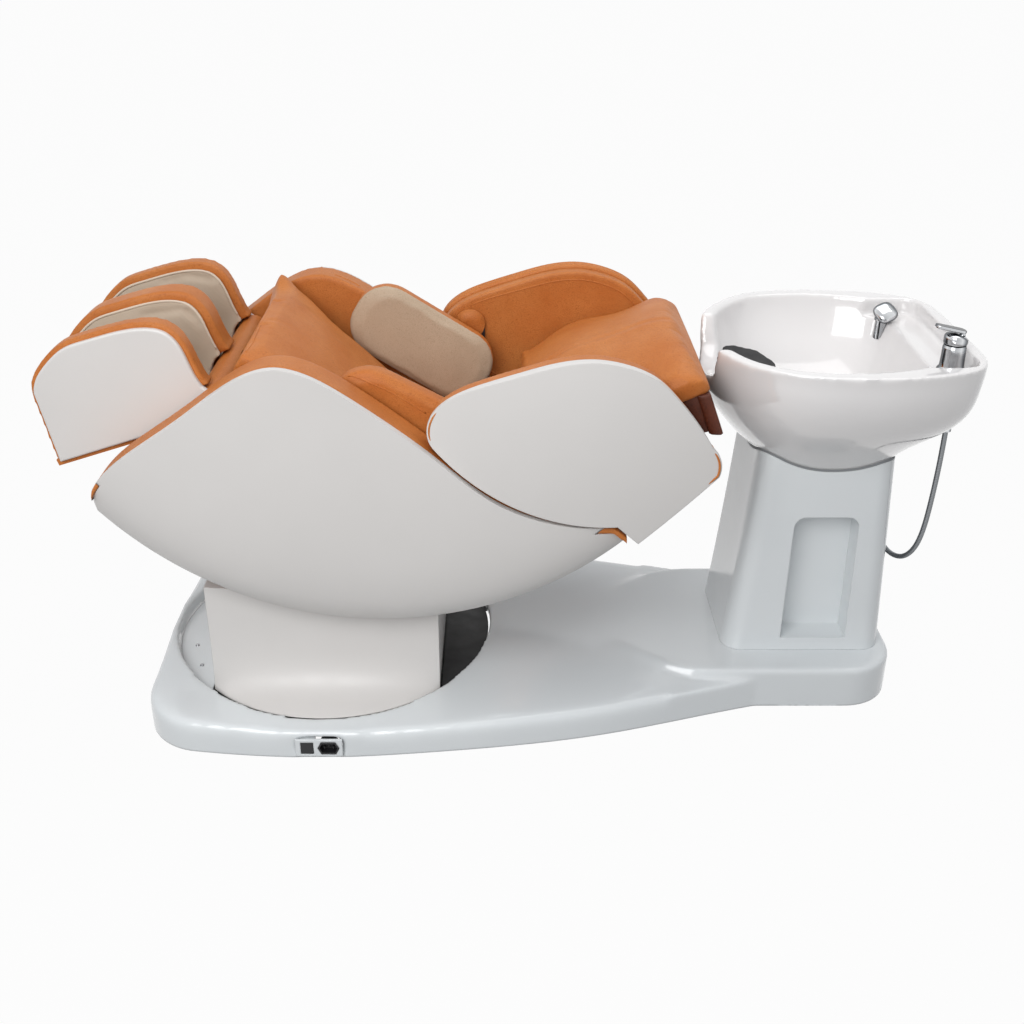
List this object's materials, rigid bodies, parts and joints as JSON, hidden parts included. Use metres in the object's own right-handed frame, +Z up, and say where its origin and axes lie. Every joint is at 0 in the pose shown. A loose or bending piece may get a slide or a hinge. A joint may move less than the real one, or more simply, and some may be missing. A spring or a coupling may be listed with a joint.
{
  "type": "massage shampoo chair",
  "caption": "Reclining massage seat with leg rest and winged back on a moulded plinth, its head end at a ceramic wash basin on a column with mixer and hand shower.",
  "frame": {"origin": "on the floor under the middle of the whole chair", "axes": "+X from the feet to the basin, +Z up, -Y the near side with the power inlet"},
  "size_m": [1.9824, 0.8748, 0.9361],
  "materials": {
    "white_panel": "gloss",
    "grey_gloss": "gloss",
    "ceramic": "glazed",
    "orange_leather": "satin",
    "taupe_leather": "satin",
    "brown_leather": "satin",
    "beige_fabric": "matte",
    "black_rubber": "matte",
    "black_plastic": "matte",
    "chrome": "polished",
    "painted_steel": "satin",
    "bright_steel": "satin",
    "dark_metal": "satin",
    "grey_pipe": "matte"
  },
  "bodies": {
    "base": {"base_plinth": "grey_gloss", "base_frame": "painted_steel", "levelling_feet": "black_rubber", "recess_plate": "grey_gloss", "recess_plate_screws": "chrome", "pedestal_cover": "white_panel", "pedestal_frame": "painted_steel", "tilt_shaft": "bright_steel", "tilt_actuator": "dark_metal", "power_inlet_plate": "grey_gloss", "inlet_socket": "black_plastic", "column_shell": "grey_gloss", "column_post": "painted_steel", "basin_gasket": "black_rubber", "basin": "ceramic", "neck_rest": "black_rubber", "drain_flange": "chrome", "drain_pipe": "grey_pipe", "mixer_body": "chrome", "handset_socket": "chrome", "mixer_hose": "chrome", "hose_unions": "chrome"},
    "rocker": {"power_rocker": "black_plastic"},
    "mixer_cap": {"mixer_cap": "chrome"},
    "mixer_lever": {"mixer_lever": "chrome"},
    "handset": {"handset": "chrome"},
    "strainer": {"hair_strainer": "chrome"},
    "tilt_rod": {"tilt_rod": "bright_steel"},
    "seat": {"seat_frame": "painted_steel", "side_shell_near": "white_panel", "side_shell_far": "white_panel", "side_lining_near": "orange_leather", "side_lining_far": "orange_leather", "seat_pan": "painted_steel", "seat_cushion": "orange_leather", "arm_pad_near": "taupe_leather", "arm_pad_far": "taupe_leather", "arm_brackets": "painted_steel", "control_box": "black_plastic", "back_actuator": "dark_metal", "leg_actuator": "dark_metal"},
    "back_rod": {"back_rod": "bright_steel"},
    "leg_rod": {"leg_rod": "bright_steel"},
    "back": {"back_frame": "painted_steel", "back_shell": "black_plastic", "wing_near": "white_panel", "wing_far": "white_panel", "wing_lining_near": "orange_leather", "wing_lining_far": "orange_leather", "back_cushion": "orange_leather", "head_flaps": "brown_leather", "massage_rails": "bright_steel"},
    "carriage": {"massage_carriage": "painted_steel"},
    "upper_rollers": {"upper_rollers": "black_plastic"},
    "lower_rollers": {"lower_rollers": "black_plastic"},
    "leg": {"leg_frame": "painted_steel", "leg_panel_near": "white_panel", "leg_panel_far": "white_panel", "leg_walls": "orange_leather", "trough_linings": "beige_fabric"}
  },
  "joints": [
    {"name": "seat_tilt", "type": "hinge", "parent": "base", "child": "seat", "pos_m": [-0.281, 0, 0.356], "axis": [0, -1, 0], "range_deg": [0, 12]},
    {"name": "back_recline", "type": "hinge", "parent": "seat", "child": "back", "pos_m": [-0.101, 0, 0.76], "axis": [0, -1, 0], "range_deg": [0, 45]},
    {"name": "leg_lift", "type": "hinge", "parent": "seat", "child": "leg", "pos_m": [-0.622, 0, 0.762], "axis": [0, -1, 0], "range_deg": [0, 48]},
    {"name": "tilt_rod_slide", "type": "slide", "parent": "base", "child": "tilt_rod", "axis": [0.4765, 0, -0.8792], "range_m": [0, 0.03394]},
    {"name": "back_rod_slide", "type": "slide", "parent": "seat", "child": "back_rod", "axis": [0.4193, 0, 0.9078], "range_m": [0, 0.13542]},
    {"name": "leg_rod_slide", "type": "slide", "parent": "seat", "child": "leg_rod", "axis": [0.809, 0, -0.5878], "range_m": [0, 0.06509]},
    {"name": "carriage_travel", "type": "slide", "parent": "back", "child": "carriage", "axis": [0.9373, 0, 0.3486], "range_m": [0, 0.092]},
    {"name": "upper_roller_spin", "type": "hinge", "parent": "carriage", "child": "upper_rollers", "pos_m": [0.19843, 0, 0.67599], "axis": [0, 1, 0], "continuous": true},
    {"name": "lower_roller_spin", "type": "hinge", "parent": "carriage", "child": "lower_rollers", "pos_m": [0.11408, 0, 0.64462], "axis": [0, 1, 0], "continuous": true},
    {"name": "mixer_turn", "type": "hinge", "parent": "base", "child": "mixer_cap", "pos_m": [0.928, -0.148, 0.86], "axis": [0, 0, 1], "range_deg": [-45, 45]},
    {"name": "mixer_lift", "type": "hinge", "parent": "mixer_cap", "child": "mixer_lever", "pos_m": [0.94, -0.148, 0.87558], "axis": [0, 1, 0], "range_deg": [0, 20]},
    {"name": "handset_lift", "type": "slide", "parent": "base", "child": "handset", "axis": [0, 0, 1], "range_m": [0, 0.09]},
    {"name": "strainer_lift", "type": "slide", "parent": "base", "child": "strainer", "axis": [0, 0, 1], "range_m": [0, 0.06]},
    {"name": "rocker_press", "type": "hinge", "parent": "base", "child": "rocker", "pos_m": [-0.45, -0.434, 0.029], "axis": [1, 0, 0], "range_deg": [0, 14]}
  ],
  "couplings": [
    {"joint": "tilt_rod_slide", "follows": "seat_tilt", "m_per_rad": 0.16201},
    {"joint": "back_rod_slide", "follows": "back_recline", "m_per_rad": 0.17241},
    {"joint": "leg_rod_slide", "follows": "leg_lift", "m_per_rad": 0.077681}
  ]
}
